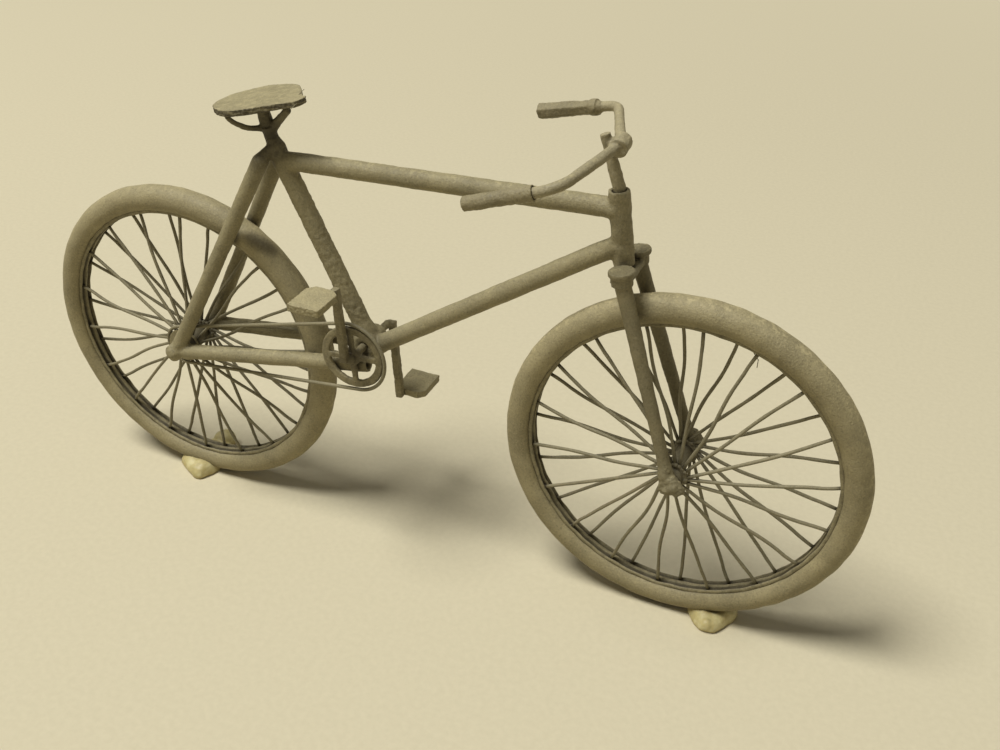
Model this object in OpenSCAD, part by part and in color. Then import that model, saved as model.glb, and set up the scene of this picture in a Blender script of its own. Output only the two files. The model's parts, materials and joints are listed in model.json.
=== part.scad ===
// Hand-built scale model of a bicycle, standing in two dabs of putty.
// Millimetres. X points forward, Y to the rider's left, Z up.
// The origin is on the floor under the rear axle.

/* [Wheels] */
// Outer diameter of both wheels
wheel_d = 44; // [42:0.5:46]
// Diameter of the tyre's round section
tyre_d = 3.5; // [3.2:0.1:3.6]
// How deep the tyre sits in the rim
tyre_bed = 0.6; // [0.4:0.05:0.8]
// Width of the rim across its lips
rim_w = 2.9; // [2.6:0.1:3.1]
// Height of the rim's lip
lip_h = 0.5; // [0.3:0.05:0.7]
// Depth of the rim below its lip
rim_web = 0.45; // [0.3:0.05:0.7]
// Distance between the two axles
wheelbase = 68.7; // [66:0.5:72]

/* [Hubs and spokes] */
// Spoke pairs in each wheel, one spoke of a pair from each flange
spoke_pairs = 18; // [12:1:18]
// Diameter of the spoke wire
spoke_d = 0.45; // [0.35:0.05:0.5]
// Angle between the two rim ends of a pair
pair_angle = 8; // [4:1:10]
// Angle by which a spoke leans from the radius at the hub
spoke_lean = 25; // [0:5:40]
// Rim ends of the spokes, from the middle to each side
spoke_rim_y = 0.5; // [0.3:0.05:0.6]
// Direction of the first spoke pair, from straight ahead
first_pair = 12; // [0:1:19]
// Length of a spoke inside its hub flange
spoke_root = 0.2; // [0.1:0.05:0.3]
// Most that a hand-bent spoke bows sideways
spoke_bow = 0.4; // [0.2:0.05:0.6]
// Diameter of the hub barrels
hub_d = 2.0; // [1.8:0.1:2.4]
// Diameter of the hub flanges
flange_d = 3.8; // [3.4:0.1:4.2]
// Thickness of a hub flange
flange_t = 0.5; // [0.4:0.05:0.6]
// Distance between the flange middles of the front hub
front_flange_gap = 5.2; // [4.6:0.2:5.6]
// Distance between the flange middles of the rear hub
rear_flange_gap = 4.0; // [3.6:0.1:4.2]
// Diameter of both wheel axles
axle_d = 1.0; // [0.8:0.05:1.1]
// Length of axle that stands out of the frame and fork ends
axle_tail = 0.35; // [0.2:0.05:0.6]

/* [Frame] */
// Crank axle ahead of the rear axle
bb_x = 27.6; // [26.5:0.25:29]
// Crank axle above the rear axle
bb_rise = 6.4; // [5.5:0.1:6.6]
// Diameter of the bottom bracket shell
bb_d = 3.0; // [2.8:0.1:3.4]
// Length of the seat tube from the crank axle
seat_tube_len = 25.95; // [25:0.05:28]
// Lean of the seat tube from the vertical
seat_tube_lean = 26.05; // [23:0.05:28]
// Diameter of the seat tube
seat_tube_d = 2.4; // [2.2:0.1:2.6]
// Length of the head tube
head_len = 8.65; // [8:0.05:10]
// Lean of the head tube from the vertical
head_lean = 8.5; // [7:0.5:12]
// Diameter of the head tube
head_d = 2.4; // [2.3:0.1:2.8]
// Foot of the head tube behind the front axle
head_reach = 9.0; // [8:0.25:9.5]
// Foot of the head tube above the tyre
head_clear = 2.05; // [1.9:0.05:3]
// Diameter of the top tube
top_tube_d = 2.3; // [2:0.1:2.4]
// Where the top tube meets the seat tube, below that tube's end
top_tube_drop = 1.2; // [1:0.1:2]
// Where the top tube meets the head tube, above its foot
top_tube_up = 6.5; // [6:0.1:7]
// Diameter of the down tube
down_tube_d = 2.3; // [2:0.1:2.5]
// How far the down tube's line passes below the crank axle
down_tube_drop = 1.2; // [0.4:0.05:1.3]
// Where the down tube meets the head tube, above its foot
down_tube_up = 2.6; // [2:0.1:3.2]

/* [Stays] */
// Rear frame ends, from the middle to each side
dropout_y = 4.2; // [4:0.1:4.6]
// Diameter of a rear frame end
dropout_d = 2.4; // [2.2:0.1:2.8]
// Diameter of the chain stays
chain_stay_d = 2.0; // [1.8:0.1:2.1]
// Diameter of the hollow in the open front ends of the chain stays
chain_stay_bore = 1.2; // [0.8:0.1:1.3]
// Depth of that hollow
chain_stay_bore_len = 3.0; // [1:0.5:5]
// Front ends of the chain stays, from the middle to each side
chain_stay_y = 2.9; // [2.7:0.1:3]
// Front ends of the chain stays, ahead of the crank axle
chain_stay_past = 1.3; // [0.8:0.1:2]
// Front ends of the chain stays, below the crank axle
chain_stay_below = 1.7; // [1.6:0.05:2.2]
// Diameter of the seat stays
seat_stay_d = 1.95; // [1.7:0.05:2]
// Upper ends of the seat stays, below the seat tube's end
seat_stay_drop = 0.6; // [0.3:0.1:2]

/* [Saddle] */
// Diameter of the seat post
post_d = 1.3; // [1.1:0.05:1.6]
// Length of the seat post above the seat tube
post_len = 3.0; // [2.5:0.1:4]
// Diameter of the knob on top of the seat post
knob_d = 1.6; // [1.4:0.05:2]
// Lean of the seat post from the vertical, to the front
post_lean = 6; // [0:1:10]
// Length of the saddle plate
saddle_len = 14.1; // [13.5:0.1:16]
// Width of the saddle plate
saddle_w = 10.9; // [9:0.2:12]
// Widest place of the saddle plate, ahead of its rear edge
saddle_wide_at = 5.6; // [4:0.2:6]
// Radius of the saddle's nose
nose_r = 1.2; // [0.7:0.05:1.4]
// Thickness of the saddle plate
saddle_t = 0.75; // [0.5:0.05:0.9]
// Rise of the saddle plate towards its nose
saddle_pitch = 10.6; // [8:0.1:18]
// Turn of the saddle on its post, nose to the right
saddle_turn = 14.5; // [0:0.5:30]
// Part of the saddle plate behind the seat post
saddle_back = 7.5; // [6.5:0.1:8.5]
// Height of the saddle plate above the seat post, where they line up
saddle_gap = 2.7; // [2:0.1:3.2]
// Diameter of the two struts under the saddle, at their upper ends
strut_d = 0.8; // [0.6:0.05:0.9]
// Diameter of the struts at the seat post
strut_foot_d = 1.0; // [0.8:0.05:1.1]
// Upper end of the front strut, ahead of the seat post
front_strut = 3.3; // [2:0.1:3.5]
// Upper end of the rear strut, behind the seat post
rear_strut = 1.6; // [1:0.1:2]
// Diameter of the wire rail under the saddle's right side
rail_d = 0.65; // [0.5:0.05:0.8]
// Outer end of the rail, to the right of the saddle's middle
rail_out = 4.6; // [3.5:0.1:4.8]
// Outer end of the rail, behind the seat post
rail_back = 2.2; // [1:0.1:3]
// How far the rail sags
rail_sag = 1.0; // [0.6:0.1:1.4]

/* [Fork and handlebar] */
// Height of the fork crown's bar
crown_t = 0.85; // [0.7:0.05:1]
// Width of the fork crown's bar, front to back
crown_w = 1.9; // [1.6:0.1:2.2]
// Middle of the fork crown, ahead of the steering axis
crown_ahead = 0.7; // [0.4:0.05:0.9]
// Diameter of the sockets at the ends of the crown
socket_d = 2.4; // [2.2:0.1:2.6]
// Diameter of the caps on those sockets
cap_d = 3.0; // [2.7:0.1:3.2]
// Thickness of a cap
cap_t = 0.6; // [0.4:0.05:0.8]
// Top of the caps above the foot of the head tube
cap_rise = 0.75; // [0.5:0.05:1]
// Fork blades at the crown, from the middle to each side
blade_top_y = 3.0; // [2.9:0.1:3.4]
// Fork tips, from the middle to each side
fork_tip_y = 4.8; // [4.6:0.1:5.2]
// Diameter of the fork blades at the crown
blade_top_d = 1.85; // [1.6:0.05:1.9]
// Diameter of the fork blades at the tips
blade_tip_d = 1.4; // [1.2:0.05:1.5]
// Diameter of a fork tip
fork_tip_d = 2.0; // [1.8:0.1:2.4]
// Diameter of the stem and of the steerer below it
stem_d = 1.4; // [1.2:0.05:1.5]
// Length of the stem above the head tube
stem_len = 5.9; // [5:0.1:7]
// Diameter of the stem at its upper end
stem_top_d = 1.2; // [1:0.05:1.4]
// Length of straight steerer above the head tube
steerer_up = 0.3; // [0.2:0.05:0.6]
// Further lean of the stem, to the rear
stem_bend = 11.2; // [4:0.2:13]
// Distance of the handlebar ahead of the stem's middle line
bar_ahead = 1.35; // [1.2:0.05:2]
// Distance of the handlebar below the stem's upper end
bar_below = 1.5; // [0.5:0.05:1.6]
// Diameter of the handlebar wire
bar_d = 1.15; // [1:0.05:1.25]
// Diameter of the clamp round the handlebar
clamp_d = 2.4; // [2:0.1:2.6]
// Length of that clamp
clamp_len = 2.1; // [1.8:0.1:2.6]
// Turn of the handlebar in its clamp, which lifts its left end
bar_roll = 8.2; // [0:0.1:12]
// Handlebar corner, from the middle to each side
bar_corner_y = 9.5; // [8.5:0.1:10]
// Handlebar corner, behind the clamp
bar_corner_back = 3.3; // [1:0.1:4]
// Handlebar corner, below the clamp
bar_corner_drop = 0.6; // [0:0.1:1]
// Bend radius of the handlebar's right corner
bar_bend_right = 3.6; // [2:0.1:3.8]
// Bend radius of the handlebar's left corner
bar_bend_left = 2.3; // [2:0.1:3.8]
// Length of a grip
grip_len = 7.7; // [6.5:0.1:8.5]
// Diameter of the right grip at its front end
right_grip_d = 1.75; // [1.5:0.05:1.9]
// Diameter of the right grip at its rear end
right_grip_rear_d = 1.6; // [1.5:0.05:1.9]
// Width across the corners of the six-sided left grip, at its front end
left_grip_d = 1.7; // [1.6:0.05:1.9]
// Width across the corners of the left grip at its rear end
left_grip_rear_d = 2.0; // [1.7:0.05:2.2]
// Diameter of the collar on the left grip
collar_d = 1.9; // [1.8:0.05:2.2]
// Length of that collar
collar_len = 0.9; // [0.6:0.1:1.4]
// Front end of a grip, from the handlebar's corner
grip_start = 2.6; // [2.4:0.1:5]
// Splay of the grips, outwards to the rear
grip_splay = 7.4; // [0:0.2:12]
// Fall of the grips to the rear
grip_fall = 16.7; // [8:0.1:20]
// Length of handlebar inside a grip
grip_hold = 2.4; // [1.5:0.1:4]

/* [Drive] */
// Outer diameter of the chainring
ring_d = 8.5; // [8:0.1:9.5]
// Width of the chainring's band
ring_band = 1.0; // [0.8:0.05:1.3]
// Thickness of the chainring
ring_t = 0.5; // [0.4:0.05:0.6]
// Width of the chainring's four arms
ring_arm_w = 0.75; // [0.5:0.05:1]
// Diameter of the chainring's middle
ring_hub_d = 2.2; // [1.8:0.1:2.6]
// Diameter of the rear sprocket
sprocket_d = 4.7; // [4.2:0.1:5]
// Thickness of the rear sprocket
sprocket_t = 0.4; // [0.3:0.05:0.45]
// Diameter of the chain wire
chain_d = 0.46; // [0.35:0.02:0.5]
// Diameter of the crank axle
crank_axle_d = 1.0; // [0.8:0.05:1.1]
// Middle of the right crank, from the frame's middle
right_crank_y = 5.7; // [5.4:0.1:6.5]
// Middle of the left crank, from the frame's middle
left_crank_y = 5.1; // [5.1:0.1:6.5]
// Side of the square crank bars
crank_bar = 0.95; // [0.7:0.05:1.1]
// Right crank's length from axle to pedal
right_crank_len = 9.4; // [8:0.1:10.5]
// Left crank's length from axle to pedal
left_crank_len = 10.9; // [8.5:0.1:11]
// Distance of each crank's middle line from the axle, the right one to the rear and the left one ahead
crank_set = 0.45; // [0:0.05:0.6]
// Length of crank bar past the axle
crank_root = 0.2; // [0:0.05:0.6]
// Length of crank bar past the pedal
crank_past = 0.5; // [0.4:0.05:1]
// Direction of the right crank, from straight ahead
crank_angle = 94.3; // [0:1:359]
// Length of a pedal, out from its crank
pedal_len = 5.2; // [4:0.1:5.5]
// Width of a pedal, front to back
pedal_w = 4.2; // [3:0.1:4.5]
// Thickness of a pedal
pedal_t = 1.0; // [0.6:0.05:1.2]
// Distance of each pedal's middle from its crank, the right one to the rear and the left one ahead
pedal_set = 1.1; // [0:0.1:1.2]
// Length cut from a pedal's inner corners
pedal_clip = 0.9; // [0.6:0.1:1.5]

/* [Putty] */
// Thickness of putty under the tyres
lift = 0.35; // [0.3:0.05:0.6]
// Front pad ahead of the front axle
front_pad_ahead = 6.4; // [5.5:0.1:7]

/* [Clearances] */
// Running clearance of an axle or steerer in its bore, on the radius
run_gap = 0.05; // [0.03:0.01:0.09]
// Clearance of a glued rod in its hole, on the radius
glue_gap = 0.02; // [0.01:0.01:0.03]
// Room between faces that turn past each other
side_gap = 0.15; // [0.1:0.05:0.25]

/* [Hidden] */
$fn = 48;
paint = "#8f8563";
paint_light = "#a59974";
paint_dark = "#6f664a";
putty_colour = "#e6dfca";

// A bend is a touch thicker than its straight ends, which run a little way into it
bend_swell = 1.02;
bend_lap = 0.1;
// Length by which a cutting body passes the face that it cuts
cut = 1;

// Wheels and their places
axle_z = lift + wheel_d / 2;
rear_axle_at = [0, 0, axle_z];
front_axle_at = [wheelbase, 0, axle_z];
tyre_r = wheel_d / 2 - tyre_d / 2;
rim_seat_r = wheel_d / 2 - tyre_d + tyre_bed;
rim_in_r = rim_seat_r - lip_h - rim_web;

// Frame ends take the widths of what they hold
dropout_w = chain_stay_d + 2 * run_gap;
fork_tip_w = blade_tip_d + 2 * side_gap;
hub_end_front = fork_tip_y - fork_tip_w / 2 - side_gap;
hub_end_rear = dropout_y - dropout_w / 2 - side_gap;

// Frame lines
bb_at = [bb_x, 0, axle_z + bb_rise];
bb_half = chain_stay_y - chain_stay_d / 2;
seat_dir = [-sin(seat_tube_lean), 0, cos(seat_tube_lean)];
seat_top = bb_at + seat_tube_len * seat_dir;
seat_stay_y = max(seat_tube_d, top_tube_d) / 2 + seat_stay_d / 2 + glue_gap;
head_dir = [-sin(head_lean), 0, cos(head_lean)];
head_foot = front_axle_at + [-head_reach, 0, wheel_d / 2 + head_clear];
down_foot = bb_at - [0, 0, down_tube_drop];

// Saddle: its underside's middle above the post, and its directions ahead, to the left and up
post_dir = [sin(post_lean), 0, cos(post_lean)];
post_top = seat_top + post_len * post_dir;
saddle_slope = [cos(saddle_pitch), 0, sin(saddle_pitch)];
saddle_ahead = cos(saddle_turn) * saddle_slope - sin(saddle_turn) * [0, 1, 0];
saddle_left = sin(saddle_turn) * saddle_slope + cos(saddle_turn) * [0, 1, 0];
saddle_up = [-sin(saddle_pitch), 0, cos(saddle_pitch)];
saddle_under = post_top + saddle_gap * saddle_up;

// Stem and handlebar
stem_lean = head_lean + stem_bend;
stem_dir = [-sin(stem_lean), 0, cos(stem_lean)];
stem_knee = head_foot + (head_len + steerer_up) * head_dir;
stem_top = stem_knee + stem_len * stem_dir;
bar_at = stem_top - bar_below * stem_dir + bar_ahead * [cos(stem_lean), 0, sin(stem_lean)];
crown_foot = -side_gap - crown_t;

// Drive: the chainring clears the chain stay that runs outwards behind it
stay_spread = (dropout_y - chain_stay_y) / (bb_x + chain_stay_past);
stay_beside_ring = chain_stay_y + stay_spread * (ring_d / 2 + chain_stay_past);
ring_y = stay_beside_ring + chain_stay_d / 2 + side_gap + ring_t / 2;
sprocket_y = rear_flange_gap / 2 + flange_t / 2 + run_gap + sprocket_t / 2;
crank_dir = [cos(crank_angle), 0, sin(crank_angle)];

function unit(v) = v / norm(v);

// Round rod or cone between two points
module rod(a, b, da, db) {
    run = b - a;
    translate(a)
        rotate([0, acos(run.z / norm(run)), atan2(run.y, run.x)])
            cylinder(h = norm(run), d1 = da, d2 = db);
}

// Axle-like cylinder across the frame, from one side to the other
module cross_rod(at, y0, y1, d) {
    translate([at.x, y0, at.z]) rotate([-90, 0, 0]) cylinder(h = y1 - y0, d = d);
}

// Turns and moves its children so that X, Y, Z become the three given directions
module placed(at, ex, ey, ez) {
    multmatrix([[ex.x, ey.x, ez.x, at.x],
                [ex.y, ey.y, ez.y, at.y],
                [ex.z, ey.z, ez.z, at.z],
                [0, 0, 0, 1]])
        children();
}

// Round wire through three points, with a bend of the given radius at the middle one
module bent_wire(p0, p1, p2, d, bend) {
    back = unit(p0 - p1);
    ahead = unit(p2 - p1);
    half = acos(back * ahead) / 2;
    tangent = bend / tan(half);
    centre = p1 + unit(back + ahead) * bend / sin(half);
    start = p1 + back * tangent;
    ex = unit(start - centre);
    rod(p0, start - back * bend_lap, d, d);
    rod(p1 + ahead * (tangent - bend_lap), p2, d, d);
    placed(centre, ex, -back, cross(ex, -back))
        rotate_extrude(angle = 180 - 2 * half) translate([bend, 0]) circle(d = d * bend_swell);
}

// Wire that bows by sag towards the given side on its way from a to b
module bowed_wire(a, b, d, sag, side) {
    chord = norm(b - a);
    radius = (chord * chord / 4 + sag * sag) / (2 * sag);
    half = asin(chord / (2 * radius));
    ey = unit(b - a);
    ex = unit(side - (side * ey) * ey);
    placed((a + b) / 2 - ex * (radius - sag), ex, ey, cross(ex, ey))
        rotate([0, 0, -half])
            rotate_extrude(angle = 2 * half) translate([radius, 0]) circle(d = d);
}

// Frame

module head_tube_body() rod(head_foot, head_foot + head_len * head_dir, head_d, head_d);
module bb_body() cross_rod(bb_at, -bb_half, bb_half, bb_d);
module seat_tube_body() rod(bb_at, seat_top, seat_tube_d, seat_tube_d);

module head_tube() color(paint) difference() {
    head_tube_body();
    rod(head_foot - cut * head_dir, head_foot + (head_len + cut) * head_dir,
        stem_d + 2 * run_gap, stem_d + 2 * run_gap);
}

module top_tube() color(paint_light) difference() {
    rod(seat_top - top_tube_drop * seat_dir, head_foot + top_tube_up * head_dir, top_tube_d, top_tube_d);
    head_tube_body();
    seat_tube_body();
}

module down_tube() color(paint) difference() {
    rod(down_foot, head_foot + down_tube_up * head_dir, down_tube_d, down_tube_d);
    head_tube_body();
    seat_tube_body();
    bb_body();
}

module seat_tube() color(paint) difference() {
    seat_tube_body();
    bb_body();
}

module bottom_bracket() color(paint_dark) difference() {
    bb_body();
    cross_rod(bb_at, -bb_half - cut, bb_half + cut, crank_axle_d + 2 * run_gap);
}

function dropout_at(side) = [0, side * dropout_y, axle_z];
function chain_stay_end(side) = bb_at + [chain_stay_past, side * chain_stay_y, -chain_stay_below];
function seat_stay_end(side) = seat_top - seat_stay_drop * seat_dir + [0, side * seat_stay_y, 0];

module dropout_body(side) {
    cross_rod(rear_axle_at, side * dropout_y - dropout_w / 2, side * dropout_y + dropout_w / 2, dropout_d);
}

module chain_stay_body(side) {
    rod(dropout_at(side), chain_stay_end(side), chain_stay_d, chain_stay_d);
}

module chain_stay(side) color(paint) difference() {
    chain_stay_body(side);
    dropout_body(side);
    bore_dir = unit(chain_stay_end(side) - dropout_at(side));
    rod(chain_stay_end(side) - chain_stay_bore_len * bore_dir, chain_stay_end(side) + cut * bore_dir,
        chain_stay_bore, chain_stay_bore);
}
module chain_stay_right() chain_stay(-1);
module chain_stay_left() chain_stay(1);

module seat_stay(side) color(paint) difference() {
    rod(dropout_at(side), seat_stay_end(side), seat_stay_d, seat_stay_d);
    dropout_body(side);
    chain_stay_body(side);
}
module seat_stay_right() seat_stay(-1);
module seat_stay_left() seat_stay(1);

module rear_dropouts() color(paint_dark)
    for (side = [-1, 1]) difference() {
        dropout_body(side);
        cross_rod(rear_axle_at, side * dropout_y - dropout_w, side * dropout_y + dropout_w,
                  axle_d + 2 * glue_gap);
    }

module rear_axle() color(paint_dark) {
    reach = dropout_y + dropout_w / 2 + axle_tail;
    cross_rod(rear_axle_at, -reach, reach, axle_d);
}

// Saddle

function under_saddle(ahead, left) = saddle_under + ahead * saddle_ahead + left * saddle_left;

module post_knob() translate(post_top) sphere(d = knob_d);

// The foot of the post is cut to the seat tube's end, and its top to the knob
module seat_post() color(paint_dark) difference() {
    rod(seat_top - post_d / 2 * post_dir, post_top, post_d, post_d);
    seat_tube_body();
    post_knob();
}

// Half an ellipse at the rear, and flanks that sweep in to a round nose
module saddle_outline() {
    half = saddle_w / 2;
    flank = saddle_len - saddle_wide_at - nose_r;
    rear = [for (i = [0 : 16]) let (a = 90 + i * 180 / 16) [saddle_wide_at * cos(a), half * sin(a)]];
    right = [for (i = [1 : 10]) [flank * i / 10, -nose_r - (half - nose_r) * (1 + cos(18 * i)) / 2]];
    nose = [for (i = [1 : 7]) let (a = -90 + i * 180 / 8) [flank + nose_r * cos(a), nose_r * sin(a)]];
    left = [for (i = [10 : -1 : 1]) [flank * i / 10, nose_r + (half - nose_r) * (1 + cos(18 * i)) / 2]];
    translate([saddle_wide_at - saddle_back, 0]) polygon(concat(rear, right, nose, left));
}

module on_saddle() translate(saddle_under)
    rotate([0, -saddle_pitch, 0]) rotate([0, 0, -saddle_turn]) children();

module saddle_plate() color(paint_light) on_saddle() linear_extrude(saddle_t) saddle_outline();

// Struts and rail fan out from the knob to the saddle's underside, where they are cut flush
module saddle_struts() color(paint_dark) difference() {
    union() {
        for (reach = [-rear_strut, front_strut])
            rod(post_top, under_saddle(reach, 0) + strut_d / 2 * saddle_up, strut_foot_d, strut_d);
        bowed_wire(post_top, under_saddle(-rail_back, -rail_out) + rail_d / 2 * saddle_up,
                   rail_d, rail_sag, -saddle_up);
        post_knob();
    }
    on_saddle() translate([-saddle_len, -saddle_w, 0])
        cube([2 * saddle_len, 2 * saddle_w, saddle_t + strut_d]);
}

// Fork, stem and handlebar

module in_head() translate(head_foot) rotate([0, -head_lean, 0]) children();
function blade_top(side) = head_foot + crown_foot * head_dir
    + crown_ahead * [cos(head_lean), 0, sin(head_lean)] + [0, side * blade_top_y, 0];
function fork_tip_at(side) = front_axle_at + [0, side * fork_tip_y, 0];

// A bar under the head tube, with a capped socket for each fork blade at its ends
module fork_crown() color(paint_light) in_head() {
    back = -stem_d / 2;
    translate([back, -blade_top_y, crown_foot + bend_lap])
        cube([crown_ahead + crown_w / 2 - back, 2 * blade_top_y, crown_t - bend_lap]);
    for (side = [-1, 1]) translate([crown_ahead, side * blade_top_y, 0]) {
        translate([0, 0, crown_foot]) cylinder(h = cap_rise - cap_t / 2 - crown_foot, d = socket_d);
        translate([0, 0, cap_rise - cap_t]) cylinder(h = cap_t, d = cap_d);
    }
}

module fork_tip_body(side) {
    cross_rod(front_axle_at, side * fork_tip_y - fork_tip_w / 2, side * fork_tip_y + fork_tip_w / 2,
              fork_tip_d);
}

module fork_blade(side) color(paint) difference() {
    rod(blade_top(side) + crown_t / 2 * head_dir, fork_tip_at(side), blade_top_d, blade_tip_d);
    fork_tip_body(side);
    in_head() translate([-crown_w, -2 * blade_top_y, crown_foot])
        cube([4 * crown_w, 4 * blade_top_y, 2 * crown_t]);
}
module fork_blade_right() fork_blade(-1);
module fork_blade_left() fork_blade(1);

module fork_tips() color(paint_dark)
    for (side = [-1, 1]) difference() {
        fork_tip_body(side);
        cross_rod(front_axle_at, side * fork_tip_y - fork_tip_w, side * fork_tip_y + fork_tip_w,
                  axle_d + 2 * glue_gap);
    }

module front_axle() color(paint_dark) {
    reach = fork_tip_y + fork_tip_w / 2 + axle_tail;
    cross_rod(front_axle_at, -reach, reach, axle_d);
}

module stem_body() {
    rod(head_foot - side_gap * head_dir, stem_knee, stem_d, stem_d);
    translate(stem_knee) sphere(d = stem_d * bend_swell);
    rod(stem_knee, stem_top, stem_d, stem_top_d);
}
module stem() color(paint) stem_body();

module in_bar() translate(bar_at) rotate([bar_roll, 0, 0]) children();

function bar_corner(side) = [-bar_corner_back, side * bar_corner_y, -bar_corner_drop];
function grip_dir(side) = [-cos(grip_splay) * cos(grip_fall),
                           side * sin(grip_splay),
                           -cos(grip_splay) * sin(grip_fall)];
function grip_at(side, along) = bar_corner(side) + (grip_start + along) * grip_dir(side);

module bar_clamp() color(paint_dark) difference() {
    in_bar() rotate([90, 0, 0]) cylinder(h = clamp_len, d = clamp_d, center = true);
    stem_body();
    in_bar() for (side = [-1, 1])
        rod([0, 0, 0], bar_corner(side), bar_d + 2 * glue_gap, bar_d + 2 * glue_gap);
    in_bar() sphere(d = (bar_d + 2 * glue_gap) * bend_swell);
}

module handlebar() color(paint) in_bar() {
    sphere(d = bar_d * bend_swell);
    bent_wire([0, 0, 0], bar_corner(-1), grip_at(-1, grip_hold), bar_d, bar_bend_right);
    bent_wire([0, 0, 0], bar_corner(1), grip_at(1, grip_hold), bar_d, bar_bend_left);
}

module grip_bore(side) rod(grip_at(side, -cut), grip_at(side, grip_hold + run_gap),
                           bar_d + 2 * run_gap, bar_d + 2 * run_gap);

module grip_right() color(paint_dark) in_bar() difference() {
    rod(grip_at(-1, 0), grip_at(-1, grip_len), right_grip_d, right_grip_rear_d);
    grip_bore(-1);
}

module grip_left() color(paint_dark) in_bar() difference() {
    union() {
        rod(grip_at(1, 0), grip_at(1, grip_len), left_grip_d, left_grip_rear_d, $fn = 6);
        rod(grip_at(1, 0), grip_at(1, collar_len), collar_d, collar_d);
    }
    grip_bore(1);
}

// Wheels

module tyre(at) translate(at) rotate([90, 0, 0])
    rotate_extrude() difference() {
        translate([tyre_r, 0]) circle(d = tyre_d);
        translate([0, -tyre_d]) square([rim_seat_r, 2 * tyre_d]);
    }

module rim(at) translate(at) rotate([90, 0, 0])
    rotate_extrude() polygon([[rim_seat_r, -rim_w / 2], [rim_seat_r, rim_w / 2],
                              [rim_seat_r - lip_h, rim_w / 2], [rim_in_r, rim_w / 2 - rim_web],
                              [rim_in_r, -rim_w / 2 + rim_web], [rim_seat_r - lip_h, -rim_w / 2]]);

// A spoke from the flange on one side to the rim, each bowed by its own amount as hand-cut wire is
module spoke(index, side, flange_y) {
    rim_angle = first_pair + index * 360 / spoke_pairs + side * pair_angle / 2;
    hub_angle = rim_angle + side * spoke_lean;
    root_r = flange_d / 2 - spoke_root;
    end_r = rim_in_r - glue_gap;
    from = [cos(hub_angle) * root_r, side * flange_y, sin(hub_angle) * root_r];
    to = [cos(rim_angle) * end_r, side * spoke_rim_y, sin(rim_angle) * end_r];
    uneven = rands(-1, 1, 1, 2 * index + side)[0];
    sag = spoke_bow * (1 + abs(uneven)) / 2;
    bowed_wire(from, to, spoke_d, sag, sign(uneven) * [-sin(rim_angle), 0, cos(rim_angle)]);
}

module hub(at, half, flange_gap) translate(at) difference() {
    union() {
        cross_rod([0, 0, 0], -half, half, hub_d);
        for (side = [-1, 1]) {
            flange_y = flange_gap / 2;
            cross_rod([0, 0, 0], side * flange_y - flange_t / 2, side * flange_y + flange_t / 2, flange_d);
            for (index = [0 : spoke_pairs - 1]) spoke(index, side, flange_y);
        }
    }
    cross_rod([0, 0, 0], -half - cut, half + cut, axle_d + 2 * run_gap);
}

module front_tyre() color(paint) tyre(front_axle_at);
module rear_tyre() color(paint) tyre(rear_axle_at);
module front_rim() color(paint_dark) rim(front_axle_at);
module rear_rim() color(paint_dark) rim(rear_axle_at);
module front_hub() color(paint_light) hub(front_axle_at, hub_end_front, front_flange_gap);
module rear_hub() color(paint_light) hub(rear_axle_at, hub_end_rear, rear_flange_gap);

module rear_sprocket() color(paint_dark) difference() {
    cross_rod(rear_axle_at, -sprocket_y - sprocket_t / 2, -sprocket_y + sprocket_t / 2, sprocket_d);
    cross_rod(rear_axle_at, -sprocket_y - cut, -sprocket_y + cut, hub_d + 2 * glue_gap);
}

// Drive

module chainring() color(paint_dark) translate(bb_at + [0, -ring_y, 0]) rotate([90, 0, 0])
    translate([0, 0, -ring_t / 2]) linear_extrude(ring_t) difference() {
        union() {
            difference() {
                circle(d = ring_d);
                circle(d = ring_d - 2 * ring_band);
            }
            intersection() {
                circle(d = ring_d - ring_band);
                for (turn = [0, 90]) rotate(crank_angle + turn) square([ring_d, ring_arm_w], center = true);
            }
            circle(d = ring_hub_d);
        }
        circle(d = crank_axle_d + 2 * glue_gap);
    }

module crank_axle() color(paint_dark)
    cross_rod(bb_at, -right_crank_y + crank_bar / 2, left_crank_y - crank_bar / 2, crank_axle_d);

// A crank bar from just past the axle to just past the pedal
module crank(side, y, length, turn) color(paint)
    translate(bb_at + [side * crank_set, side * y, 0]) rotate([0, -turn, 0])
        translate([-crank_root, -crank_bar / 2, -crank_bar / 2])
            cube([crank_root + length + crank_past, crank_bar, crank_bar]);
module crank_right() crank(-1, right_crank_y, right_crank_len, crank_angle);
module crank_left() crank(1, left_crank_y, left_crank_len, crank_angle + 180);

// A level slab, glued to the outer face of its crank
module pedal(side, y, length) color(paint_light)
    translate(bb_at - side * length * crank_dir
              + [side * (crank_set + pedal_set), side * (y + crank_bar / 2), -pedal_t / 2])
        linear_extrude(pedal_t)
            polygon([[-pedal_w / 2 + pedal_clip, 0], [pedal_w / 2 - pedal_clip, 0],
                     [pedal_w / 2, side * pedal_clip], [pedal_w / 2, side * pedal_len],
                     [-pedal_w / 2, side * pedal_len], [-pedal_w / 2, side * pedal_clip]]);
module pedal_right() pedal(-1, right_crank_y, right_crank_len);
module pedal_left() pedal(1, left_crank_y, left_crank_len);

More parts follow.
